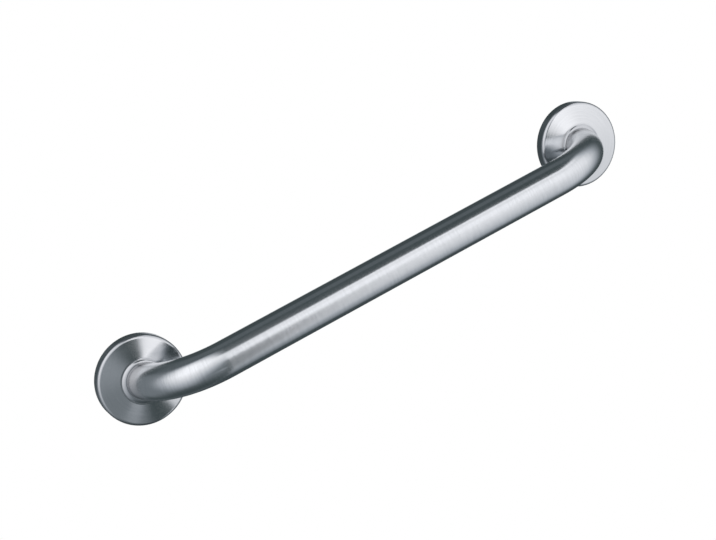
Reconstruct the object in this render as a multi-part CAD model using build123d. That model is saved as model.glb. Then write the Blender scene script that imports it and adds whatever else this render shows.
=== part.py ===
from build123d import *
from math import sqrt
import os

# A straight wall grab bar: one tube bent at both ends, a screw flange welded to each end,
# and at each end a thin spun cover that slides on the tube and presses over the flange.
# The wall is the plane y = 0, the bar runs along X and stands out along -Y, and +Z is up.
# The origin lies on the wall, midway between the two flanges. Sizes are in millimetres.

# Tube
centre_distance = 457.2         # between the axes of the two flanges
tube_diameter = 31.75
tube_wall = 1.2
bend_radius = 61.0              # of the tube's centre line
leg_beyond_flange = 0.5         # straight tube between the flange and the start of the bend
tube_end_setback = 0.5          # the tube stops short of the wall, so that the flange alone rests on it

# Mounting flange
flange_thickness = 3.0
flange_rim_chamfer = 0.6        # leads the cover on
flange_bore_clearance = 0.1     # round the tube, closed by the weld
screw_count = 3
screw_hole_diameter = 7.0
first_screw_angle = 90.0        # one screw straight up

# Fillet weld between tube and flange
weld_leg = 3.0
weld_crown = 0.35               # the bead's rise over the straight line between its toes

# Cover
cover_diameter = 78.5
cover_sheet = 0.8
cover_rim_depth = 10.8          # wall to the corner where the skirt and the face would meet
cover_face_rise = 2.7           # of the sloping face, from that corner to the shoulder round the neck
cover_inner_edge_radius = 2.4
cover_wall_gap = 0.3            # rim to wall
cover_flange_clearance = 0.5    # lets the skirt swing off the flange as the cover follows the bend

# Neck of the cover, which leans with the bend
neck_height = 1.5
neck_flare = 1.4                # its root is this much wider than its lip, in radius
neck_tube_clearance = 0.3
neck_shoulder = 1.4             # width of the flat ring round its root
neck_root_fillet = 1.0

# Worked out from the above
tube_radius = tube_diameter / 2
half_distance = centre_distance / 2
leg_length = flange_thickness + leg_beyond_flange
projection = leg_length + bend_radius
cover_radius = cover_diameter / 2
cover_inner_radius = cover_radius - cover_sheet
cover_depth = cover_rim_depth + cover_face_rise
flange_radius = cover_inner_radius - cover_flange_clearance
weld_radius = tube_radius + weld_leg
screw_circle_radius = (weld_radius + flange_radius) / 2

# The plane of the neck's lip cuts the bent tube in an oval that lies off the flange's axis
lip_above_bend = cover_depth + neck_height - leg_length
oval_inner_side = bend_radius - sqrt((bend_radius - tube_radius) ** 2 - lip_above_bend ** 2)
oval_outer_side = sqrt((bend_radius + tube_radius) ** 2 - lip_above_bend ** 2) - bend_radius
neck_lean = (oval_inner_side - oval_outer_side) / 2
neck_lip_radius = (oval_inner_side + oval_outer_side) / 2 + neck_tube_clearance + cover_sheet
neck_root_radius = neck_lip_radius + neck_flare
shoulder_radius = neck_root_radius + neck_shoulder
face_slope = cover_face_rise / (cover_radius - shoulder_radius)

left_axis = Pos(-half_distance, 0, 0)


def tube_path():
    """Centre line: out from the wall, round a bend, along, round a bend and back to the wall."""
    return FilletPolyline(
        (-half_distance, -tube_end_setback),
        (-half_distance, -projection),
        (half_distance, -projection),
        (half_distance, -tube_end_setback),
        radius=bend_radius,
    )


def tube_solid(radius):
    path = tube_path()
    section = Plane(origin=path @ 0, z_dir=path % 0) * Circle(radius)
    return sweep(section, path=path)


def mounting_flange():
    """Flat plate on the wall round the tube, with screw holes on the land outside the weld."""
    screws = PolarLocations(screw_circle_radius, screw_count, start_angle=first_screw_angle)
    outline = Circle(flange_radius)
    outline -= Circle(tube_radius + flange_bore_clearance)
    outline -= screws * Circle(screw_hole_diameter / 2)
    plate = extrude(Plane.XZ * outline, flange_thickness)
    front = plate.faces().sort_by(Axis.Y)[0]
    plate = chamfer(front.outer_wire().edges(), flange_rim_chamfer)
    return left_axis * plate


def weld_bead(tube_outside):
    """Ring of weld in the corner between the flange and the tube, with its inside trimmed by the tube."""
    within_wall = tube_radius - tube_wall / 2
    root = (within_wall, -flange_thickness)
    toe_on_flange = (weld_radius, -flange_thickness)
    toe_on_tube = (within_wall, -flange_thickness - weld_leg)
    corner = Polyline(toe_on_tube, root, toe_on_flange)
    profile = make_face(corner + SagittaArc(toe_on_flange, toe_on_tube, weld_crown))
    return left_axis * revolve(profile, Axis.Y) - tube_outside


def dish(inset):
    """Solid of revolution under the skirt, rounded edge, sloping face and shoulder, all moved in by inset."""
    radius = cover_radius - inset
    depth = cover_depth - inset
    face_drop = inset * sqrt(1 + face_slope ** 2)
    rim_depth = cover_rim_depth + inset * face_slope - face_drop
    shoulder = radius - (depth - rim_depth) / face_slope
    outline = Polyline(
        (0, -cover_wall_gap),
        (radius, -cover_wall_gap),
        (radius, -rim_depth),
        (shoulder, -depth),
        (0, -depth),
        close=True,
    )
    profile = make_face(outline)
    rim_corner = profile.vertices().sort_by_distance((radius, -rim_depth, 0))[0]
    edge_radius = cover_inner_edge_radius + cover_sheet - inset
    return left_axis * revolve(fillet(rim_corner, edge_radius), Axis.Y)


def neck_loft(inset, first_depth, last_depth):
    """Leaning cone between two planes along the wall, with its outside moved in by inset."""
    sections = []
    for depth in (first_depth, last_depth):
        share = (depth - cover_depth) / neck_height
        radius = neck_root_radius + share * (neck_lip_radius - neck_root_radius) - inset
        centre = Vector(share * neck_lean, -depth, 0)
        sections.append(Plane(origin=centre, x_dir=(0, 0, 1), z_dir=(0, -1, 0)) * Circle(radius))
    return left_axis * loft(sections)


def cover_form(inset, lip_depth):
    """Dish and neck as one solid with a rounded neck root, with its outside moved in by inset."""
    face_depth = cover_depth - inset
    form = dish(inset) + neck_loft(inset, face_depth, lip_depth)
    root_side = left_axis.position - (neck_root_radius, face_depth, 0)
    neck_root = form.edges().filter_by(GeomType.CIRCLE).sort_by_distance(root_side)[0]
    return fillet(neck_root, neck_root_fillet + inset)


def snap_cover():
    """Thin dish over the flange, with a neck that leans with the bent tube and ends close round it."""
    lip_depth = cover_depth + neck_height
    return cover_form(0, lip_depth) - cover_form(cover_sheet, lip_depth + cover_sheet)


tube_outside = tube_solid(tube_radius)
pieces = {"bar_tube": tube_outside - tube_solid(tube_radius - tube_wall)}
left_pieces = {
    "mounting_flange": mounting_flange(),
    "weld_bead": weld_bead(tube_outside),
    "snap_cover": snap_cover(),
}
for name, piece in left_pieces.items():
    pieces["left_" + name] = piece
    pieces["right_" + name] = mirror(piece, about=Plane.YZ)

os.makedirs("parts", exist_ok=True)
for name, piece in pieces.items():
    export_step(piece, os.path.join("parts", name + ".step"))
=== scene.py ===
from math import atan, atan2, cos, degrees, hypot, pi, radians, sin, sqrt, tan

import bmesh
import bpy
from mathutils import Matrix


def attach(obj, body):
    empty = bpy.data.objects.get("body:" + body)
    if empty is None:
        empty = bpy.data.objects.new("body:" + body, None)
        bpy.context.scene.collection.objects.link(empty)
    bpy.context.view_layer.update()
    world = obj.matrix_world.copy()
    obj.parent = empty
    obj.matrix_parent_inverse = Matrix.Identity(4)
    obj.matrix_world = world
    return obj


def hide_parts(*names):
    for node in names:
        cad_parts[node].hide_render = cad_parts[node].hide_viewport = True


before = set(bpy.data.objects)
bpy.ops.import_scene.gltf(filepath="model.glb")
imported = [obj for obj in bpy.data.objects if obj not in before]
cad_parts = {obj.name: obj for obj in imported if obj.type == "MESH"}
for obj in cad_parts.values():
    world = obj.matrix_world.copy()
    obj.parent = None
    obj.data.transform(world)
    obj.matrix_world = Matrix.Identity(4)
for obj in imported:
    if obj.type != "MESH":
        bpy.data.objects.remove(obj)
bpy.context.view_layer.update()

print("frame loaded:", len(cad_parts), "nodes")

mm = 0.001
samePoint = 0.001 * mm               # points closer than this are one
sameHeight = 0.01 * mm
facingWall = (pi / 2, 0, 0)          # turns a flat circle upright, along the wall


# shader maths as plain expressions
class Wire:
    def __init__(self, tree, socket=None):
        self.tree = tree
        self.socket = socket

    def add(self, kind, settings=None, inputs=None, output=0):
        node = self.tree.nodes.new(kind)
        for name, value in (settings or {}).items():
            setattr(node, name, value)
        for name, value in (inputs or {}).items():
            if isinstance(value, Wire):
                self.tree.links.new(value.socket, node.inputs[name])
            else:
                node.inputs[name].default_value = value
        return Wire(self.tree, node.outputs[output]) if len(node.outputs) else None

    def math(self, operation, *values):
        return self.add("ShaderNodeMath", {"operation": operation}, dict(enumerate(values)))

    def vector(self, operation, *values):
        return self.add("ShaderNodeVectorMath", {"operation": operation}, dict(enumerate(values)))

    def scaled(self, amount):
        return self.add("ShaderNodeVectorMath", {"operation": "SCALE"}, {0: self, "Scale": amount})

    def axis(self, index):
        return self.add("ShaderNodeSeparateXYZ", {}, {0: self}, index)

    def between(self, low, high, start=0.0, end=1.0, style="SMOOTHSTEP"):
        ends = {"Value": self, "From Min": low, "From Max": high, "To Min": start, "To Max": end}
        return self.add("ShaderNodeMapRange", {"interpolation_type": style}, ends)

    def tint(self, first, second):
        return self.add("ShaderNodeMix", {"data_type": "RGBA"}, {0: self, 6: first, 7: second}, 2)

    def __neg__(self):
        return self.math("MULTIPLY", self, -1)

    def __add__(self, other):
        return self.math("ADD", self, other)

    def __radd__(self, other):
        return self.math("ADD", other, self)

    def __sub__(self, other):
        return self.math("SUBTRACT", self, other)

    def __rsub__(self, other):
        return self.math("SUBTRACT", other, self)

    def __mul__(self, other):
        return self.math("MULTIPLY", self, other)

    def __rmul__(self, other):
        return self.math("MULTIPLY", other, self)

    def __truediv__(self, other):
        return self.math("DIVIDE", self, other)

    def __rtruediv__(self, other):
        return self.math("DIVIDE", other, self)


# modelling helpers
def takeName(piece, name):
    piece.name = name
    piece.data.name = name


def pickOnly(piece):
    bpy.ops.object.select_all(action="DESELECT")
    piece.select_set(True)
    bpy.context.view_layer.objects.active = piece


def newRing(name, segments, radius, place):
    bpy.ops.object.select_all(action="DESELECT")
    bpy.ops.mesh.primitive_circle_add(vertices=segments, radius=radius,
                                      location=place, rotation=facingWall)
    piece = bpy.context.object
    takeName(piece, name)
    bpy.ops.object.transform_apply(location=True, rotation=True, scale=True)
    return piece


# selects the points (VERT) or edges (EDGE) whose ends pass the test
def pick(piece, kind, test):
    bpy.ops.mesh.select_mode(type=kind)
    bpy.ops.mesh.select_all(action="DESELECT")
    cage = bmesh.from_edit_mesh(piece.data)
    for part in cage.verts if kind == "VERT" else cage.edges:
        ends = [part.co] if kind == "VERT" else [vert.co for vert in part.verts]
        part.select_set(test(*ends))
    cage.select_flush_mode()
    bmesh.update_edit_mesh(piece.data)


def pickedPoints(piece):
    return [vert.co.copy() for vert in bmesh.from_edit_mesh(piece.data).verts if vert.select]


def extrudeBy(move):
    bpy.ops.mesh.extrude_edges_move(TRANSFORM_OT_translate={"value": move})


def mergeAll():
    bpy.ops.mesh.select_all(action="SELECT")
    bpy.ops.mesh.remove_doubles(threshold=samePoint)


def cleanSkin():
    mergeAll()
    bpy.ops.mesh.normals_make_consistent(inside=False)


def thicken(piece, thickness):
    wall = piece.modifiers.new("wall", "SOLIDIFY")
    wall.thickness = thickness
    wall.offset = -1                 # inwards from the skin
    wall.use_even_offset = True
    bpy.context.view_layer.objects.active = piece
    bpy.ops.object.modifier_apply(modifier="wall")


def smooth(piece, angle):
    pickOnly(piece)
    bpy.ops.object.shade_smooth_by_angle(angle=radians(angle))
    even = piece.modifiers.new("even", "WEIGHTED_NORMAL")
    even.weight = 100                # large faces decide
    even.keep_sharp = True
    bpy.ops.object.modifier_apply(modifier="even")


def mirrored(piece, name):
    pickOnly(piece)
    bpy.ops.object.duplicate(linked=False)
    other = bpy.context.object
    takeName(other, name)
    bpy.ops.object.mode_set(mode="EDIT")
    bpy.ops.mesh.select_all(action="SELECT")
    bpy.ops.transform.resize(value=(-1, 1, 1), center_override=(0, 0, 0))
    bpy.ops.mesh.flip_normals()
    bpy.ops.object.mode_set(mode="OBJECT")
    return other


# bar tube
tube = {
    "halfDistance": 228.6 * mm,      # flange axis from the middle of the bar
    "radius": 15.875 * mm,
    "wall": 1.2 * mm,
    "bendRadius": 61.0 * mm,         # of the centre line
    "legLength": 3.5 * mm,           # wall to the start of the bend
    "endSetback": 0.5 * mm,          # wall to the tube's end
    "endBevel": 0.2 * mm,
    "bevelSegments": 2,
    "segments": 128,
    "bendSteps": 48,
    "smoothAngle": 30.0,
}
leftAxisX = -tube["halfDistance"]
bendX = tube["halfDistance"] - tube["bendRadius"]


# with no window, spin turns the other way, so its axis points down
def turnTube(centreX):
    centre = (centreX, -tube["legLength"], 0)
    bpy.ops.mesh.spin(steps=tube["bendSteps"], angle=pi / 2, center=centre, axis=(0, 0, -1))


def onTubeEnd(a, b):
    return max(a.y, b.y) > -tube["endSetback"] - sameHeight and abs(a.y - b.y) < samePoint


def makeTube():
    legMove = tube["legLength"] - tube["endSetback"]
    piece = newRing("barTube", tube["segments"], tube["radius"], (leftAxisX, -tube["endSetback"], 0))
    bpy.ops.object.mode_set(mode="EDIT")
    extrudeBy((0, -legMove, 0))
    turnTube(-bendX)
    extrudeBy((2 * bendX, 0, 0))
    turnTube(bendX)
    extrudeBy((0, legMove, 0))
    cleanSkin()
    bpy.ops.object.mode_set(mode="OBJECT")
    thicken(piece, tube["wall"])
    bpy.ops.object.mode_set(mode="EDIT")
    pick(piece, "EDGE", onTubeEnd)
    bpy.ops.mesh.bevel(offset=tube["endBevel"], segments=tube["bevelSegments"], affect="EDGES")
    bpy.ops.object.mode_set(mode="OBJECT")
    smooth(piece, tube["smoothAngle"])
    return piece


# snap covers
cover = {
    "radius": 39.25 * mm,
    "sheet": 0.8 * mm,
    "rimDepth": 10.8 * mm,           # wall to the corner under the rounded edge
    "faceRise": 2.7 * mm,            # shoulder round the neck over that corner
    "edgeRadius": 3.2 * mm,
    "edgeSegments": 10,
    "wallGap": 0.3 * mm,
    "neckHeight": 1.5 * mm,
    "neckFlare": 1.4 * mm,
    "neckClearance": 0.3 * mm,
    "neckShoulder": 1.4 * mm,
    "shoulderBlend": 0.5 * mm,
    "shoulderSegments": 3,
    "neckRootShare": 20,             # per cent of the neck's slope that its hollow root takes
    "lipShare": 90,                  # and that its rounded lip takes of the rest
    "neckSegments": 6,               # in each of those two
    "lipGap": 0.04 * mm,             # the lip's inside is drawn in until it nearly meets the tube
    "lipInside": 0.2 * mm,           # that inside lies further in than this
    "rimBevel": 0.12 * mm,
    "rimSegments": 2,
    "ringSlack": 0.05 * mm,
    "segments": 192,
    "smoothAngle": 40.0,
}
rimY = -cover["rimDepth"]
faceY = rimY - cover["faceRise"]
lipY = faceY - cover["neckHeight"]

# the lip's plane cuts the bent tube in an oval off the flange's axis
lipAboveBend = -lipY - tube["legLength"]
ovalInner = tube["bendRadius"] - sqrt((tube["bendRadius"] - tube["radius"]) ** 2 - lipAboveBend ** 2)
ovalOuter = sqrt((tube["bendRadius"] + tube["radius"]) ** 2 - lipAboveBend ** 2) - tube["bendRadius"]
ovalHalf = (ovalInner + ovalOuter) / 2
neckLean = (ovalInner - ovalOuter) / 2
lipX = leftAxisX + neckLean
lipRadius = ovalHalf + cover["neckClearance"] + cover["sheet"]
rootRadius = lipRadius + cover["neckFlare"]
shoulderRadius = rootRadius + cover["neckShoulder"]


def ringTo(centreX, y, share):
    bpy.ops.transform.resize(value=(share, 1, share), center_override=(centreX, y, 0))


# bevels the ring of edges at that radius and height
def roundRing(piece, centreX, radius, y, **bevel):
    def near(p):
        return abs(hypot(p.x - centreX, p.z) - radius) < cover["ringSlack"] and abs(p.y - y) < sameHeight
    pick(piece, "EDGE", lambda a, b: near(a) and near(b))
    bpy.ops.mesh.bevel(affect="EDGES", **bevel)


# edges on the wall's side that run round the rim, not across the sheet
def onRim(a, b):
    reach = [hypot(p.x - leftAxisX, p.z) for p in (a, b)]
    return min(a.y, b.y) > -cover["wallGap"] - sameHeight and abs(reach[0] - reach[1]) < cover["sheet"] / 2


def coverSkin():
    piece = newRing("leftSnapCover", cover["segments"], cover["radius"], (leftAxisX, -cover["wallGap"], 0))
    bpy.ops.object.mode_set(mode="EDIT")
    extrudeBy((0, rimY + cover["wallGap"], 0))
    extrudeBy((0, faceY - rimY, 0))
    ringTo(leftAxisX, faceY, shoulderRadius / cover["radius"])
    extrudeBy((0, 0, 0))
    ringTo(leftAxisX, faceY, rootRadius / shoulderRadius)
    extrudeBy((neckLean, lipY - faceY, 0))
    ringTo(lipX, lipY, lipRadius / rootRadius)
    faceSlope = atan(cover["faceRise"] / (cover["radius"] - shoulderRadius))
    rimOffset = cover["edgeRadius"] * tan((pi / 2 - faceSlope) / 2)
    roundRing(piece, leftAxisX, cover["radius"], rimY, offset=rimOffset, segments=cover["edgeSegments"])
    roundRing(piece, leftAxisX, rootRadius, faceY, offset_type="PERCENT",
              offset_pct=cover["neckRootShare"], segments=cover["neckSegments"])
    roundRing(piece, leftAxisX, shoulderRadius, faceY,
              offset=cover["shoulderBlend"], segments=cover["shoulderSegments"])
    cleanSkin()
    bpy.ops.object.mode_set(mode="OBJECT")
    return piece


# trims the lip flat and brings its inside close to the tube
def fitLip(piece):
    reach = lipRadius - cover["lipInside"]
    pick(piece, "VERT", lambda p: p.y < lipY + cover["sheet"] and hypot(p.x - lipX, p.z) < reach)
    inside = pickedPoints(piece)
    ends = [min(p.x for p in inside), max(p.x for p in inside)]
    bpy.ops.transform.translate(value=(lipX - sum(ends) / 2, 0, 0))
    shareX = 2 * (ovalHalf + cover["lipGap"]) / (ends[1] - ends[0])
    shareZ = (tube["radius"] + cover["lipGap"]) / max(p.z for p in inside)
    bpy.ops.transform.resize(value=(shareX, 0, shareZ), center_override=(lipX, lipY, 0))
    roundRing(piece, lipX, lipRadius, lipY, offset_type="PERCENT",
              offset_pct=cover["lipShare"], segments=cover["neckSegments"])


def makeCover():
    piece = coverSkin()
    thicken(piece, cover["sheet"])
    bpy.ops.object.mode_set(mode="EDIT")
    fitLip(piece)
    pick(piece, "EDGE", onRim)
    bpy.ops.mesh.bevel(offset=cover["rimBevel"], segments=cover["rimSegments"], affect="EDGES")
    bpy.ops.object.mode_set(mode="OBJECT")
    return piece


# weld beads: one ripple, copied round the tube
bead = {
    "leg": 3.0 * mm,
    "crown": 0.35 * mm,
    "flangeTop": 3.0 * mm,
    "startShare": 0.137,             # where the bead's curve leaves the tube
    "arcSteps": 8,
    "ripples": 72,
    "rippleSizes": (0.88, 0.95, 1.0, 0.97, 0.88),
    "smoothAngle": 60.0,
}


# distance from the flange's axis and height, from the corner round the crown and back
def beadOutline():
    inner = tube["radius"] - tube["wall"] / 2
    width = tube["radius"] + bead["leg"] - inner
    slant = hypot(width, bead["leg"])
    points = [(tube["radius"], -bead["flangeTop"])]
    for step in range(bead["arcSteps"] + 1):
        share = bead["startShare"] + (1 - bead["startShare"]) * step / bead["arcSteps"]
        swell = 4 * bead["crown"] * share * (1 - share)     # a parabola, the crown high in the middle
        reach = inner + width * share + swell * bead["leg"] / slant
        y = -bead["flangeTop"] - bead["leg"] * (1 - share) - swell * width / slant
        points.append((reach, y))
    return points + points[:1]


# one cross section of the ripple, scaled towards the corner that the weld fills
def scaleOutline(piece, turn, size, slack):
    def turnOf(p):
        return atan2(p.z, p.x - leftAxisX)
    pick(piece, "VERT", lambda p: abs(abs(turnOf(p)) - turn) < slack)
    chosen = [turnOf(p) for p in pickedPoints(piece)]
    signed = sum(chosen) / len(chosen)
    cornerX = leftAxisX + tube["radius"] * cos(signed)
    corner = (cornerX, -bead["flangeTop"], tube["radius"] * sin(signed))
    bpy.ops.transform.resize(value=(size, size, size), center_override=corner)


def makeBead():
    axisPoint = (leftAxisX, 0, 0)
    points = beadOutline()
    bpy.ops.object.select_all(action="DESELECT")
    bpy.ops.mesh.primitive_plane_add(size=mm, location=(0, 0, 0))
    piece = bpy.context.object
    takeName(piece, "leftWeldBead")
    bpy.ops.object.mode_set(mode="EDIT")
    bpy.ops.mesh.select_mode(type="VERT")
    bpy.ops.mesh.select_all(action="SELECT")
    bpy.ops.mesh.merge(type="CENTER")
    bpy.ops.transform.translate(value=(leftAxisX + points[0][0], points[0][1], 0))
    for (reach, y), (nextReach, nextY) in zip(points, points[1:]):
        move = (nextReach - reach, nextY - y, 0)
        bpy.ops.mesh.extrude_vertices_move(TRANSFORM_OT_translate={"value": move})
    mergeAll()
    bpy.ops.mesh.select_all(action="SELECT")
    steps = len(bead["rippleSizes"]) - 1
    ripple = 2 * pi / bead["ripples"]
    bpy.ops.mesh.spin(steps=steps, angle=ripple, center=axisPoint, axis=(0, 1, 0))
    quarterStep = ripple / steps / 4
    for step, size in enumerate(bead["rippleSizes"]):
        scaleOutline(piece, ripple * step / steps, size, quarterStep)
    bpy.ops.mesh.select_all(action="SELECT")
    rest = bead["ripples"] - 1
    bpy.ops.mesh.spin(steps=rest, dupli=True, angle=ripple * rest, center=axisPoint, axis=(0, 1, 0))
    cleanSkin()
    bpy.ops.object.mode_set(mode="OBJECT")
    return piece


# finishes
def newFinish(name):
    finish = bpy.data.materials.new(name)
    finish.use_nodes = True
    finish.node_tree.nodes.clear()
    return finish, Wire(finish.node_tree)


def closeFinish(wire, shader):
    wire.add("ShaderNodeOutputMaterial", {}, {"Surface": shader})


def objectPlace(wire):
    return wire.add("ShaderNodeTexCoord", {}, {}, "Object")


def surfaceNormal(wire):
    return wire.add("ShaderNodeNewGeometry", {}, {}, "Normal")


# a direction from its three parts, one unit long, in the world
def worldWay(wire, parts):
    way = wire.vector("NORMALIZE", wire.add("ShaderNodeCombineXYZ", {}, parts))
    turns = {"vector_type": "VECTOR", "convert_from": "OBJECT", "convert_to": "WORLD"}
    return wire.add("ShaderNodeVectorTransform", turns, {0: way})


# sideways from the nearer flange's axis
def offAxis(wire, place):
    x = place.axis(0)
    return x - wire.math("SIGN", x) * tube["halfDistance"]


# distance from that axis
def axisReach(wire, place):
    sideways, z = offAxis(wire, place), place.axis(2)
    return wire.math("SQRT", sideways * sideways + z * z)


def noise(wire, at, scale=1.0, detail=3.0):
    return wire.add("ShaderNodeTexNoise", {}, {"Vector": at, "Scale": scale, "Detail": detail})


# noise runs from 0 to 1, so its swing is taken about the middle
def swing(level, amount):
    return (level - 0.5) * amount


# fine lines: noise that changes fast across them and slowly along them
def fineLines(wire, across, other, z, look):
    at = {0: across / look["lineSpacing"], 1: other * look["lineDrift"], 2: z * look["lineDrift"]}
    return noise(wire, wire.add("ShaderNodeCombineXYZ", {}, at))


def bumped(wire, height, look):
    sizes = {"Strength": look["bump"], "Distance": look["bumpDepth"]}
    return wire.add("ShaderNodeBump", {}, {**sizes, "Height": height})


def bareMetal(wire, colour, rough, normal):
    inputs = {"Base Color": colour, "Metallic": 1.0, "Roughness": rough, "Normal": normal}
    return wire.add("ShaderNodeBsdfPrincipled", {}, inputs)


# brushed metal: narrow lobes side by side, their normals leaning across the brush lines
def brushedMetal(wire, colour, rough, normal, across, look):
    shader, total = None, 0.0
    for step in range(-look["lobes"], look["lobes"] + 1):
        lean = step * look["lobeStep"]
        weight = 1 / (1 + (lean / look["core"]) ** 2)
        total += weight
        leaning = wire.vector("NORMALIZE", wire.vector("ADD", normal, across.scaled(lean)))
        lobe = bareMetal(wire, colour, rough, leaning)
        if shader:
            lobe = wire.add("ShaderNodeMixShader", {}, {0: weight / total, 1: shader, 2: lobe})
        shader = lobe
    return shader


# satin tube: belt lines that run round it
satin = {
    "pale": (0.68, 0.695, 0.715, 1),
    "deep": (0.62, 0.635, 0.655, 1),
    "paintedShade": (0.46, 0.465, 0.475, 1),     # painted shade: a darker tone on the tube near its ends, where it runs into the covers' necks
    "paintedShadeFrom": (64.0, 72.0),            # degrees round the bend, from the straight run
    "lineSpacing": 0.5 * mm,
    "lineDrift": 60.0,                   # noise cells per metre along a line
    "lineTone": (0.3, 0.7),
    "lineDepth": 0.03,
    "smears": (45.0, 3.0),               # scale and detail of a noise
    "roughness": 0.15,
    "smearRough": 0.06,
    "lineRough": 0.05,
    "lobes": 6,                          # to each side of the middle one
    "lobeStep": 0.035,
    "core": 0.028,
}


def satinTubeFinish():
    finish, wire = newFinish("satinTube")
    place = objectPlace(wire)
    x, y, z = place.axis(0), place.axis(1), place.axis(2)
    # past the straight run and out from the legs, then the turn round the bend and the length along the bar
    past = wire.math("MINIMUM", x + bendX, 0) + wire.math("MAXIMUM", x - bendX, 0)
    out = -wire.math("MINIMUM", y + tube["legLength"], 0)
    along = worldWay(wire, {0: out, 1: past})
    turn = wire.math("ARCTAN2", past, out)
    length = wire.math("MAXIMUM", wire.math("MINIMUM", x, bendX), -bendX) + tube["bendRadius"] * turn
    lines = fineLines(wire, length, y, z, satin)
    smears = noise(wire, place, *satin["smears"])
    normal = wire.vector("ADD", surfaceNormal(wire), along.scaled(swing(lines, satin["lineDepth"])))
    # painted shade: the tube's colour darkens towards its ends, beside the covers' necks
    paintedShade = wire.math("ABSOLUTE", turn * degrees(1)).between(*satin["paintedShadeFrom"])
    colour = lines.between(*satin["lineTone"]).tint(satin["deep"], satin["pale"])
    colour = paintedShade.tint(colour, satin["paintedShade"])
    rough = satin["roughness"] + swing(smears, satin["smearRough"]) + swing(lines, satin["lineRough"])
    closeFinish(wire, brushedMetal(wire, colour, rough, normal, along, satin))
    return finish


# spun cover: rings round the flange's axis
spun = {
    "pale": (0.71, 0.72, 0.735, 1),
    "deep": (0.655, 0.665, 0.68, 1),
    "paintedShade": (0.53, 0.54, 0.56, 1),       # painted shade: a darker tone on the neck and the rim's rounding that dims their reflections
    "paintedShadeNeck": (19.6 * mm, 18.6 * mm),
    "paintedShadeRim": (36.4 * mm, 37.6 * mm),
    "paintedShadeRoughness": 0.08,
    "lineSpacing": 0.6 * mm,
    "lineDrift": 40.0,
    "lineTone": (0.3, 0.7),
    "lineDepth": 0.025,
    "smears": (60.0, 3.0),
    "roughness": 0.115,
    "smearRough": 0.06,
    "lineRough": 0.05,
    "lobes": 4,
    "lobeStep": 0.05,
    "core": 0.015,
}


def spunCoverFinish():
    finish, wire = newFinish("spunCover")
    place = objectPlace(wire)
    x, y, z = place.axis(0), place.axis(1), place.axis(2)
    reach = axisReach(wire, place)
    ringWay = worldWay(wire, {0: -z, 2: offAxis(wire, place)})
    across = wire.vector("CROSS_PRODUCT", surfaceNormal(wire), ringWay)
    rings = fineLines(wire, reach + y, x, z, spun)
    smears = noise(wire, place, *spun["smears"])
    normal = wire.vector("ADD", surfaceNormal(wire), across.scaled(swing(rings, spun["lineDepth"])))
    # painted shade: the neck and the rim's rounding are darkened in colour, and made rougher too
    paintedShade = wire.math("MAXIMUM", reach.between(*spun["paintedShadeNeck"]), reach.between(*spun["paintedShadeRim"]))
    colour = rings.between(*spun["lineTone"]).tint(spun["deep"], spun["pale"])
    colour = paintedShade.tint(colour, spun["paintedShade"])
    rough = spun["roughness"] + spun["paintedShadeRoughness"] * paintedShade
    rough = rough + swing(smears, spun["smearRough"]) + swing(rings, spun["lineRough"])
    closeFinish(wire, brushedMetal(wire, colour, rough, normal, across, spun))
    return finish


# flange plate: faced in fine rings, with a heat tint round the weld
plate = {
    "steel": (0.60, 0.605, 0.61, 1),
    "grey": (0.52, 0.525, 0.53, 1),
    "straw": (0.55, 0.46, 0.31, 1),
    "blue": (0.33, 0.35, 0.46, 1),
    "strawFrom": (25.0 * mm, 22.0 * mm),
    "blueFrom": (21.5 * mm, 19.5 * mm),
    "heatWander": 4.0 * mm,
    "lineSpacing": 0.35 * mm,
    "lineDrift": 30.0,
    "lineTone": (0.3, 0.7),
    "stains": (130.0, 4.0),
    "roughness": 0.32,
    "lineRough": 0.12,
    "stainRough": 0.1,
    "bump": 0.25,
    "bumpDepth": 0.03 * mm,
}


def flangePlateFinish():
    finish, wire = newFinish("flangePlate")
    place = objectPlace(wire)
    reach = axisReach(wire, place)
    rings = fineLines(wire, reach, place.axis(0), place.axis(2), plate)
    stains = noise(wire, place, *plate["stains"])
    heat = reach + swing(stains, plate["heatWander"])
    colour = rings.between(*plate["lineTone"]).tint(plate["grey"], plate["steel"])
    colour = heat.between(*plate["strawFrom"]).tint(colour, plate["straw"])
    colour = heat.between(*plate["blueFrom"]).tint(colour, plate["blue"])
    rough = plate["roughness"] + swing(rings, plate["lineRough"]) + swing(stains, plate["stainRough"])
    closeFinish(wire, bareMetal(wire, colour, rough, bumped(wire, rings, plate)))
    return finish


# weld metal: silver ripples, straw in places and blue at the toe
weld = {
    "silver": (0.62, 0.61, 0.59, 1),
    "straw": (0.56, 0.47, 0.33, 1),
    "blue": (0.34, 0.36, 0.47, 1),
    "strawFrom": (0.42, 0.62),           # of the patches' noise
    "toe": (17.4 * mm, 18.9 * mm),
    "toeWander": 0.8 * mm,
    "patches": (220.0, 3.0),
    "grain": (2500.0, 4.0),
    "roughness": 0.30,
    "grainRough": 0.2,
    "patchRough": 0.1,
    "bump": 0.3,
    "bumpDepth": 0.05 * mm,
}


def weldMetalFinish():
    finish, wire = newFinish("weldMetal")
    place = objectPlace(wire)
    patches = noise(wire, place, *weld["patches"])
    grain = noise(wire, place, *weld["grain"])
    toe = axisReach(wire, place) + swing(patches, weld["toeWander"])
    colour = patches.between(*weld["strawFrom"]).tint(weld["silver"], weld["straw"])
    colour = toe.between(*weld["toe"]).tint(colour, weld["blue"])
    rough = weld["roughness"] + swing(grain, weld["grainRough"]) + swing(patches, weld["patchRough"])
    closeFinish(wire, bareMetal(wire, colour, rough, bumped(wire, grain, weld)))
    return finish


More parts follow.
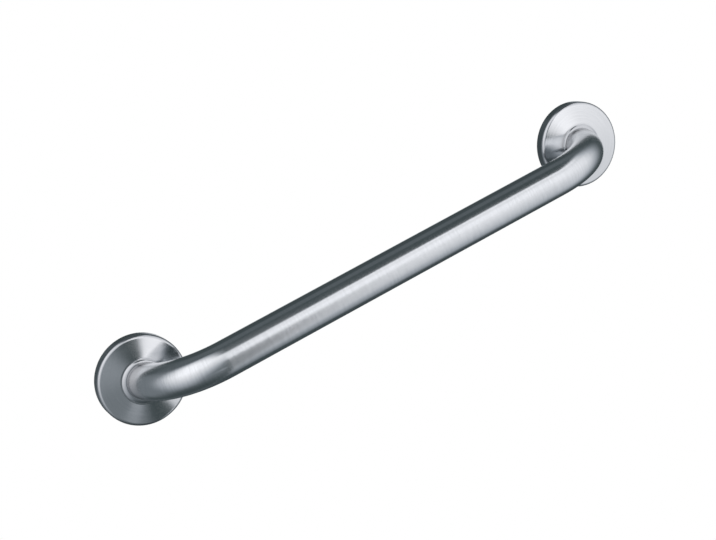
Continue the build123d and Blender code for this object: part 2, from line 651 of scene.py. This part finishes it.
# studio: two softboxes and a few dim parts, by azimuth and elevation in degrees, from and to
studio = {
    "white": (1, 1, 1, 1),
    "dark": (0.074, 0.088, 0.086, 1),
    "lit": (1.40, 1.40, 1.43, 1),        # the left box at its brightest
    "cool": (0.91, 0.975, 1.05, 1),      # tint of what is dim
    "coolUpTo": (0.0, 0.85),
    "rightLeft": (12.7, 15.4),
    "rightLeftDown": -0.075,             # that edge leans below the horizon and steps aside above it
    "rightLeftStep": (0, 20),
    "rightLeftUp": 5.0,
    "rightRight": (118, 62),
    "rightTop": (50.5, 47),
    "rightCorner": (26, 10),             # the top edge drops towards the left corner
    "rightCornerDrop": 9.0,
    "rightDip": (26, 34),
    "rightBand": (38, 44),
    "rightFoot": (-86, -45),
    "rightFade": (-45, 5),
    "rightFootLevel": 0.58,
    "rightFadeLevel": 0.34,
    "rightDipLevel": -0.13,
    "rightBandLevel": 0.25,
    "rightFar": (20, 34),                # the box is dimmer further round
    "rightFarLevel": (1.04, 0.88),
    "leftLeft": (-112, -55),
    "leftRight": (8, -3),                # this edge steps aside above the horizon too
    "leftRightStep": (4, 22),
    "leftRightStepEnd": (60, 46),
    "leftRightUp": 9.0,
    "leftDim": (-45, 5),                 # the box is dimmer towards that edge
    "leftDimLevel": (1.0, 0.82),
    "leftTop": (105, 55),
    "leftFade": (-58, 30),
    "leftFadeFrom": -45,                 # from there on the lower fade climbs
    "leftFadeClimb": (0.95, 0.3),
    "footRight": (6.5, 0),               # dim light below the left box
    "footLow": (-78, -22),
    "footLevel": 0.12,
    "backLeft": (-145, -122),            # and to the left of it
    "backLow": (-60, -30),
    "backTop": (75, 35),
    "backLevel": 0.12,
    "lowAt": (-1.9, -29.3),              # a weak patch low in front
    "lowReach": (6.2, 3.4),
    "lowLevel": 0.3,
    "wallSide": (-172, -148),            # and a weak glow from the wall's side
    "wallSideLevel": 0.035,
    "rearLeft": (128, 150),              # low light behind the bar, on the right
    "rearLow": (-19, -14),
    "rearTop": (3, -3),
    "rearLevel": 0.4,
    "streak": (88, 100),                 # a faint streak overhead, by climb
    "streakEnd": (132, 118),
    "streakLevel": 0.05,
    "behind": (0.289, 0.909, -0.300),    # the way the camera looks
    "behindCone": (0.985, 0.995),
    "floorDrop": 1.75,
    "floorFrom": (-0.17, -0.04, 0),      # where the floor's directions are taken from
    "floorSize": 80.0,
}


def rightBox(wire, turn, rise):
    level = studio["rightFootLevel"] * rise.between(*studio["rightFoot"], style="LINEAR")
    level = level + studio["rightFadeLevel"] * rise.between(*studio["rightFade"], style="LINEAR")
    level = level + studio["rightDipLevel"] * rise.between(*studio["rightDip"])
    level = level + studio["rightBandLevel"] * rise.between(*studio["rightBand"])
    level = level * turn.between(*studio["rightFar"], *studio["rightFarLevel"])
    edge = turn - studio["rightLeftDown"] * wire.math("MINIMUM", rise, 0)
    edge = edge + studio["rightLeftUp"] * rise.between(*studio["rightLeftStep"])
    top = rise + studio["rightCornerDrop"] * turn.between(*studio["rightCorner"])
    level = level * edge.between(*studio["rightLeft"]) * turn.between(*studio["rightRight"])
    return level * top.between(*studio["rightTop"])


def leftBox(wire, turn, rise):
    past = wire.math("MAXIMUM", turn - studio["leftFadeFrom"], 0)
    low, high = (end + past * climb for end, climb in zip(studio["leftFade"], studio["leftFadeClimb"]))
    level = rise.between(low, high, style="LINEAR") * rise.between(*studio["leftTop"])
    level = level * turn.between(*studio["leftDim"], *studio["leftDimLevel"], style="LINEAR")
    step = rise.between(*studio["leftRightStep"]) * rise.between(*studio["leftRightStepEnd"])
    sideways = turn * wire.math("COSINE", rise * radians(1)) - studio["leftRightUp"] * step
    return level * turn.between(*studio["leftLeft"]) * sideways.between(*studio["leftRight"])


def dimParts(wire, turn, rise, climb):
    foot = rise.between(*studio["footLow"]) * turn.between(*studio["footRight"]) * studio["footLevel"]
    foot = foot * turn.between(*studio["leftLeft"])
    back = turn.between(*studio["backLeft"]) * turn.between(*studio["footRight"]) * studio["backLevel"]
    back = back * rise.between(*studio["backLow"]) * rise.between(*studio["backTop"])
    turnOff, riseOff = turn - studio["lowAt"][0], rise - studio["lowAt"][1]
    patch = wire.math("SQRT", turnOff * turnOff + riseOff * riseOff)
    patch = patch.between(*studio["lowReach"]) * studio["lowLevel"]
    streak = climb.between(*studio["streak"]) * climb.between(*studio["streakEnd"]) * studio["streakLevel"]
    wallSide = turn.between(*studio["wallSide"], studio["wallSideLevel"], 0)
    rear = turn.between(*studio["rearLeft"]) * rise.between(*studio["rearLow"])
    rear = rear * rise.between(*studio["rearTop"]) * studio["rearLevel"]
    return foot, back, patch, streak, wallSide, rear


def studioGlow(wire, direction):
    x, y, z = direction.axis(0), direction.axis(1), direction.axis(2)
    turn = wire.math("ARCTAN2", x, -y) * degrees(1)
    climb = wire.math("ARCTAN2", z, -y) * degrees(1)
    rise = wire.math("ARCSINE", z) * degrees(1)
    level = rightBox(wire, turn, rise)
    for part in (leftBox(wire, turn, rise), *dimParts(wire, turn, rise, climb)):
        level = wire.math("MAXIMUM", level, part)
    tone = level.between(*studio["coolUpTo"]).tint(studio["cool"], studio["white"])
    return wire.vector("MULTIPLY", level.tint(studio["dark"], studio["lit"]), tone)


# camera rays see plain white, and so do mirrored rays that go on behind the bar
def studioShown(wire, direction):
    kinds = ("Is Camera Ray", "Is Glossy Ray", "Is Transmission Ray")
    seen, glossy, through = (wire.add("ShaderNodeLightPath", {}, {}, kind) for kind in kinds)
    ways = {0: direction, 1: studio["behind"]}
    ahead = wire.add("ShaderNodeVectorMath", {"operation": "DOT_PRODUCT"}, ways, "Value")
    behind = wire.math("MAXIMUM", glossy, through) * ahead.between(*studio["behindCone"])
    white = wire.math("MAXIMUM", seen, behind)
    return white.tint(studioGlow(wire, direction), studio["white"])


def makeStudio():
    world = bpy.data.worlds.new("studio")
    bpy.context.scene.world = world
    world.use_nodes = True
    world.node_tree.nodes.clear()
    wire = Wire(world.node_tree)
    direction = wire.add("ShaderNodeTexCoord", {}, {}, "Generated")
    background = wire.add("ShaderNodeBackground", {}, {"Color": studioShown(wire, direction)})
    wire.add("ShaderNodeOutputWorld", {}, {"Surface": background})


# the floor shows the studio that lies behind it
def makeFloor():
    bpy.ops.object.select_all(action="DESELECT")
    bpy.ops.mesh.primitive_plane_add(size=studio["floorSize"], location=(0, 0, -studio["floorDrop"]))
    floor = bpy.context.object
    floor.name = "floor"
    bpy.ops.object.transform_apply(location=True, rotation=True, scale=True)
    finish, wire = newFinish("paleFloor")
    direction = wire.vector("NORMALIZE", wire.vector("SUBTRACT", objectPlace(wire), studio["floorFrom"]))
    closeFinish(wire, wire.add("ShaderNodeEmission", {}, {"Color": studioShown(wire, direction)}))
    finish.cycles.emission_sampling = "NONE"
    floor.data.materials.append(finish)


# camera
view = {
    "location": (-0.415648, -1.266856, 0.409586),
    "turn": (71.14918, 21.90537, -24.88899),
    "lens": 79.08255,
    "sensorWidth": 36.0,
}


def makeCamera():
    lens = bpy.data.cameras.new("camera")
    lens.lens = view["lens"]
    lens.sensor_width = view["sensorWidth"]
    lens.sensor_fit = "HORIZONTAL"
    camera = bpy.data.objects.new("camera", lens)
    camera.location = view["location"]
    camera.rotation_euler = [radians(turn) for turn in view["turn"]]
    bpy.context.scene.collection.objects.link(camera)
    bpy.context.scene.camera = camera


tubePiece = makeTube()
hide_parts("bar_tube")
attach(tubePiece, "bar")
tubePiece.data.materials.append(satinTubeFinish())
print("tube made:", len(tubePiece.data.polygons), "faces")

leftCover = makeCover()
rightCover = mirrored(leftCover, "rightSnapCover")
spunFinish = spunCoverFinish()
for side, piece in (("left", leftCover), ("right", rightCover)):
    smooth(piece, cover["smoothAngle"])
    piece.data.materials.append(spunFinish)
    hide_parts(side + "_snap_cover")
    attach(piece, side + "_cover")
    print(side, "cover made:", len(piece.data.polygons), "faces")

leftBead = makeBead()
rightBead = mirrored(leftBead, "rightWeldBead")
weldFinish = weldMetalFinish()
flangeFinish = flangePlateFinish()
for side, piece in (("left", leftBead), ("right", rightBead)):
    smooth(piece, bead["smoothAngle"])
    piece.data.materials.append(weldFinish)
    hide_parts(side + "_weld_bead")
    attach(piece, "bar")
    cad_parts[side + "_mounting_flange"].material_slots[0].material = flangeFinish
    print(side, "weld bead made:", len(piece.data.polygons), "faces")

makeFloor()
makeStudio()
makeCamera()
bpy.context.scene.view_settings.view_transform = "Standard"
print("floor, studio and camera set")
